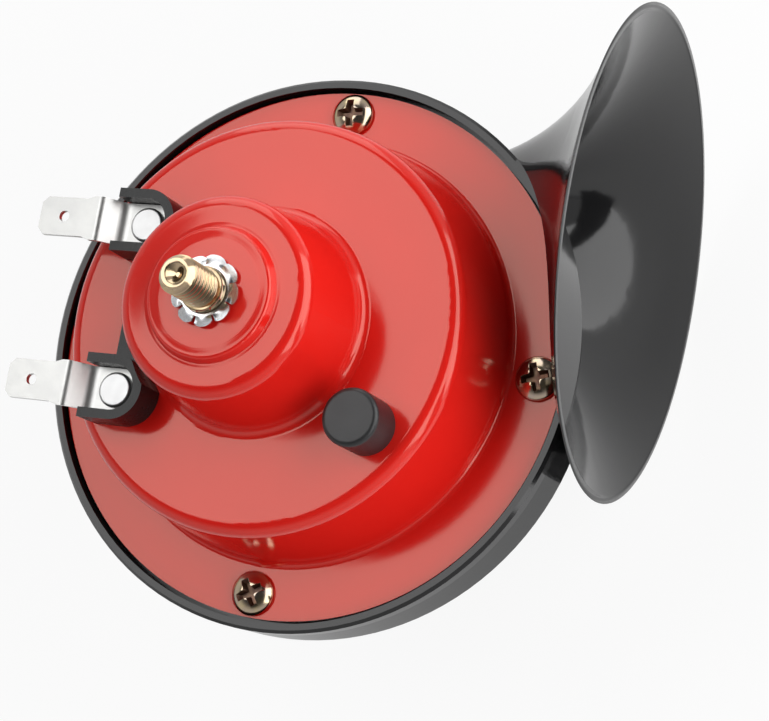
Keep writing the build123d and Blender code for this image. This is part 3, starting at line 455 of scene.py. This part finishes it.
def makeStud():
    bm = bmesh.new()
    around, crest, top, turn = stud["around"], stud["crest"], stud["top"], len(stud["form"])
    made = placeRows(bm, threadRows())
    for low in range(len(made) - 1):
        for index in range(around - 1):
            bm.faces.new((made[low][index], made[low][index + 1], made[low + 1][index + 1], made[low + 1][index]))
        if low + 1 + turn < len(made):
            bm.faces.new((made[low][-1], made[low + turn][0], made[low + 1 + turn][0], made[low + 1][-1]))
    cup, (edge, edgeDrop), (point, pointRise) = stud["cupRadius"], stud["cupEdge"], stud["cupPoint"]
    cupBottom = top - stud["cupDepth"]
    addRows(bm, [
        ring(crest - stud["chamfer"], top, around), ring(cup + edge, top, around), ring(cup, top - edgeDrop, around),
        ring(point, cupBottom + pointRise, around), ring(pole, cupBottom, around),
    ])
    addRows(bm, [ring(stud["buried"], stud["start"], around), ring(pole, stud["start"], around)])
    weld(bm, stud["weld"])
    wide, soft, bottom, cut = stud["shoulder"], stud["shoulderRound"], stud["bottom"], stud["bottomChamfer"]
    ease = stud["shoulderEase"] * soft
    addRows(bm, [
        ring(pole, bottom, around), ring(crest - cut, bottom, around), ring(crest, bottom + cut, around),
        ring(crest, stud["seat"], around), ring(wide, stud["seat"], around), ring(wide, -soft, around),
        ring(wide - ease, -ease, around), ring(wide - soft, 0.0, around), ring(pole, 0.0, around),
    ])
    weld(bm, stud["weld"])
    addPiece("threadedStud", bm, "studZinc", "mounting_stud", stud["sharp"])


# Toothed lock washer with twisted petals on a thin collar.
washer = {
    "petals": 9, "inner": 3.56, "outer": 5.46, "thick": 0.44, "middle": -1.45, "halfAngle": 18.6,
    "rootGap": 0.1, "scallop": 0.5, "scallopPower": 2.6, "alongs": 8, "acrosses": 12,
    "tilt": 0.30, "tiltFrom": 0.15, "tiltOver": 1.0,
    "collarOuter": 3.95, "collarProud": 0.02, "collarAround": 96, "weld": 0.002, "sharp": 35.0,
}


def petalHeight(reach, share):
    lift = min(1.0, max(0.0, (reach - washer["inner"] - washer["tiltFrom"]) / washer["tiltOver"]))
    lift = lift * lift * (3 - 2 * lift)
    return washer["middle"] + washer["tilt"] * share * lift


def petalFace(petal, face):
    # points on one face of a petal; face is 0.5 on top and -0.5 beneath
    root = washer["inner"] + washer["rootGap"]
    rows = []
    for step in range(washer["acrosses"] + 1):
        share = 2 * step / washer["acrosses"] - 1
        angle = 2 * pi * petal / washer["petals"] + radians(washer["halfAngle"]) * share
        tip = washer["outer"] - washer["scallop"] * abs(share) ** washer["scallopPower"]
        row = []
        for along in range(washer["alongs"] + 1):
            reach = root + (tip - root) * along / washer["alongs"]
            height = petalHeight(reach, share) + face * washer["thick"]
            row.append((reach * cos(angle), reach * sin(angle), height))
        rows.append(row)
    return rows


def makeWasher():
    bm = bmesh.new()
    alongs, acrosses = washer["alongs"], washer["acrosses"]
    for petal in range(washer["petals"]):
        top = placeRows(bm, petalFace(petal, 0.5))
        under = placeRows(bm, petalFace(petal, -0.5))
        for step in range(acrosses):
            near, far, underNear, underFar = top[step], top[step + 1], under[step], under[step + 1]
            for along in range(alongs):
                bm.faces.new((near[along], far[along], far[along + 1], near[along + 1]))
                bm.faces.new((underNear[along], underNear[along + 1], underFar[along + 1], underFar[along]))
            for end in (0, alongs):
                bm.faces.new((near[end], underNear[end], underFar[end], far[end]))
        for along in range(alongs):
            for end in (0, acrosses):
                bm.faces.new((top[end][along], top[end][along + 1], under[end][along + 1], under[end][along]))
    half = washer["thick"] / 2 + washer["collarProud"]
    low, high = washer["middle"] - half, washer["middle"] + half
    around = washer["collarAround"]
    addRows(bm, [
        ring(washer["inner"], low, around), ring(washer["collarOuter"], low, around),
        ring(washer["collarOuter"], high, around), ring(washer["inner"], high, around),
        ring(washer["inner"], low, around),
    ])
    weld(bm, washer["weld"])
    addPiece("petalWasher", bm, "brightZinc", "lock_washer", washer["sharp"])


# Pan-head screws with a cross recess. Heights are above the seat.
screws = {
    "circle": 40.1, "seat": -37.8, "turns": (20.0, 8.0, 24.0, 34.0), "top": 2.2,
    "profile": [
        (1.9, -7.7), (1.9, 0.0), (3.5, 0.0), (3.6, 0.12), (3.6, 0.42), (3.54, 0.66), (3.38, 0.92),
        (3.1, 1.22), (2.7, 1.52), (2.2, 1.79), (1.6, 2.01), (0.8, 2.16), (pole, 2.2),
    ],
    "span": 2.45, "wing": 0.66, "floorSpan": 1.75, "floorWing": 0.42, "floor": 0.5, "cutTop": 2.6,
    "throat": {"reach": 0.42, "ease": 1.02, "corner": 1.16},
    "edge": 0.06, "edgeSegments": 2, "edgeLimit": 35.0,
    "around": 96, "weld": 0.003, "sharp": 30.0,
}


def crossOutline(span, wing, height):
    # four arms as long as span and twice wing wide, with eased inner corners
    throat = screws["throat"]
    quarter = [
        (span, -wing), (span, wing), (wing + throat["reach"] * wing, wing * throat["ease"]),
        (wing * throat["corner"], wing * throat["corner"]), (wing * throat["ease"], wing + throat["reach"] * wing),
    ]
    points = []
    for turn in (0.0, pi / 2, pi, 3 * pi / 2):
        points += [(x * cos(turn) - y * sin(turn), x * sin(turn) + y * cos(turn), height) for x, y in quarter]
    return points


def addRecess(cutter):
    # a tapered cross that reaches from the recess's floor to above the head
    floorSpan, floorWing, floor = screws["floorSpan"], screws["floorWing"], screws["floor"]
    growth = (screws["cutTop"] - floor) / (screws["top"] - floor)
    span = floorSpan + (screws["span"] - floorSpan) * growth
    wing = floorWing + (screws["wing"] - floorWing) * growth
    made = addRows(cutter, [
        crossOutline(floorSpan, floorWing, floor), crossOutline(span, wing, screws["cutTop"]),
    ])
    cutter.faces.new(list(reversed(made[0])))
    cutter.faces.new(made[1])


def makeScrews():
    around = screws["around"]
    bm = bmesh.new()
    cutter = bmesh.new()
    for index, turn in enumerate(screws["turns"]):
        angle = index * pi / 2
        middle = Vector((screws["circle"] * cos(angle), screws["circle"] * sin(angle), screws["seat"])) * mm
        first = len(bm.verts)
        foot = ring(pole, screws["profile"][0][1], around)
        addRows(bm, [foot] + [ring(reach, height, around) for reach, height in screws["profile"]])
        bm.verts.ensure_lookup_table()
        bmesh.ops.translate(bm, verts=bm.verts[first:], vec=middle)
        first = len(cutter.verts)
        addRecess(cutter)
        cutter.verts.ensure_lookup_table()
        placed = Matrix.Translation(middle) @ Matrix.Rotation(radians(turn), 4, "Z")
        bmesh.ops.transform(cutter, matrix=placed, verts=cutter.verts[first:])
    weld(bm, screws["weld"])
    piece = addPiece("crossScrews", bm, "yellowZincBright", "cover_screws", screws["sharp"])
    bmesh.ops.recalc_face_normals(cutter, faces=cutter.faces)
    cutterMesh = bpy.data.meshes.new("recessCutter")
    cutter.to_mesh(cutterMesh)
    cutter.free()
    # the recess faces take the dark finish, painted shade down in the cross recess
    cutterMesh.materials.append(finishes["recessPaintedShade"])
    tool = bpy.data.objects.new("recessCutter", cutterMesh)
    bpy.context.scene.collection.objects.link(tool)
    carve = piece.modifiers.new("recess", "BOOLEAN")
    carve.object = tool
    carve.operation = "DIFFERENCE"
    carve.solver = "EXACT"
    carve.material_mode = "TRANSFER"
    soften = piece.modifiers.new("edge", "BEVEL")
    soften.width = screws["edge"] * mm
    soften.segments = screws["edgeSegments"]
    soften.limit_method = "ANGLE"
    soften.angle_limit = radians(screws["edgeLimit"])
    bpy.context.view_layer.update()
    carved = bpy.data.meshes.new_from_object(piece.evaluated_get(bpy.context.evaluated_depsgraph_get()))
    piece.modifiers.clear()
    piece.data = carved
    carved.set_sharp_from_angle(angle=radians(screws["sharp"]))
    bpy.data.objects.remove(tool)


makeStud()
makeWasher()
makeScrews()
print("stud, washer and screws made")


def addFlat(name, corners, material):
    # one flat face of the stage, corners in millimetres
    mesh = bpy.data.meshes.new(name)
    mesh.from_pydata([Vector(corner) * mm for corner in corners], [], [tuple(range(len(corners)))])
    mesh.materials.append(material)
    flat = bpy.data.objects.new(name, mesh)
    bpy.context.scene.collection.objects.link(flat)
    return flat


# Floor: white to the camera apart from the object's shadow, and dimmer in reflections.
floorLook = {
    "level": -92.8, "half": 5000.0, "albedo": 0.92, "roughness": 0.9, "shadowShare": 0.12, "mirrorShare": 0.22,
}


def makeFloor():
    finish = Finish("paleFloor")
    matte = finish.principled({
        "Base Color": grey(floorLook["albedo"]), "Roughness": floorLook["roughness"], "Specular IOR Level": 0.0,
    })
    glow = finish.add("ShaderNodeEmission", None, {"Color": grey(1.0), "Strength": 1.0})
    seen = finish.add("ShaderNodeLightPath", output="Is Camera Ray")
    mirrored = finish.add("ShaderNodeLightPath", output="Is Glossy Ray")
    through = finish.add("ShaderNodeLightPath", output="Is Transmission Ray")
    lit = (seen + through) * (1 - floorLook["shadowShare"]) + mirrored * floorLook["mirrorShare"]
    material = finish.close(finish.add("ShaderNodeMixShader", None, {0: lit, 1: matte, 2: glow}))
    half, level = floorLook["half"], floorLook["level"]
    addFlat("floor", [(-half, -half, level), (half, -half, level), (half, half, level), (-half, half, level)], material)


# Black card beside the mouth, which only reflections show.
mouthCard = {
    "corners": [(196.0, -134.0, -92.5), (246.0, -60.0, -92.5), (260.0, -10.0, 106.0), (246.0, -60.0, 106.0)],
    "colour": grey(0.012), "roughness": 0.9,
}


def makeCard():
    finish = Finish("cardBlack")
    matte = finish.principled({"Base Color": mouthCard["colour"], "Roughness": mouthCard["roughness"]})
    card = addFlat("standingCard", mouthCard["corners"], finish.close(matte))
    card.visible_camera = False
    card.visible_shadow = False
    card.visible_diffuse = False


# World: pale at the horizon, dark overhead.
worldLook = {"horizon": 0.60, "zenith": 0.05, "fade": (0.35, 0.85)}


def makeWorld():
    world = bpy.data.worlds.new("studio")
    world.use_nodes = True
    sky = Shading(world.node_tree)
    rise = sky.part(sky.add("ShaderNodeTexCoord", output="Generated"), "Z")
    level = worldLook["horizon"] + sky.ramp(rise, *worldLook["fade"]) * (worldLook["zenith"] - worldLook["horizon"])
    ground = sky.add("ShaderNodeBackground", None, {"Color": grey(1.0), "Strength": level})
    sky.add("ShaderNodeOutputWorld", None, {"Surface": ground})
    bpy.context.scene.world = world


# Panel lamps: turn and rise in degrees as seen from the aim, distance and size in millimetres,
# and the brightness of the panel's face.
lampAim = (0.0, 0.0, -30.0)
lamps = {
    "overheadPanel": {"turn": 157.0, "rise": 65.0, "away": 900.0, "size": (640.0, 480.0), "level": 2.5},
    "rearPanel": {"turn": 112.0, "rise": 22.0, "away": 800.0, "size": (520.0, 640.0), "level": 1.5},
    "mouthPanel": {"turn": 12.0, "rise": 22.0, "away": 640.0, "size": (1060.0, 640.0), "level": 2.5},
}


def makeLamp(name, lamp):
    light = bpy.data.lights.new(name, "AREA")
    light.shape = "RECTANGLE"
    light.size = lamp["size"][0] * mm
    light.size_y = lamp["size"][1] * mm
    light.energy = lamp["level"] * pi * light.size * light.size_y
    holder = bpy.data.objects.new(name, light)
    turn, rise = radians(lamp["turn"]), radians(lamp["rise"])
    way = Vector((cos(turn) * cos(rise), sin(turn) * cos(rise), sin(rise)))
    holder.location = Vector(lampAim) * mm + way * lamp["away"] * mm
    holder.rotation_euler = way.to_track_quat("Z", "Y").to_euler()
    bpy.context.scene.collection.objects.link(holder)


# Camera: its place, its own axes, and its lens and sensor, in millimetres.
view = {
    "place": (134.53, -51.68, 238.98),
    "right": (0.91217, 0.19539, -0.36025),
    "up": (-0.11596, 0.96616, 0.23041),
    "back": (0.39308, -0.1684, 0.90395),
    "lens": 89.96, "sensor": 36.0, "clipStart": 10.0,
}


def makeCamera():
    camera = bpy.data.cameras.new("camera")
    camera.lens = view["lens"]
    camera.sensor_width = view["sensor"]
    camera.sensor_fit = "HORIZONTAL"
    camera.clip_start = view["clipStart"] * mm
    viewer = bpy.data.objects.new("camera", camera)
    turn = Matrix((view["right"], view["up"], view["back"])).transposed()
    viewer.matrix_world = Matrix.LocRotScale(Vector(view["place"]) * mm, turn.to_quaternion(), None)
    bpy.context.scene.collection.objects.link(viewer)
    bpy.context.scene.camera = viewer


makeFloor()
makeCard()
makeWorld()
for lampName, lamp in lamps.items():
    makeLamp(lampName, lamp)
makeCamera()
bpy.context.scene.view_settings.view_transform = "Standard"
print("stage, lamps and camera set")
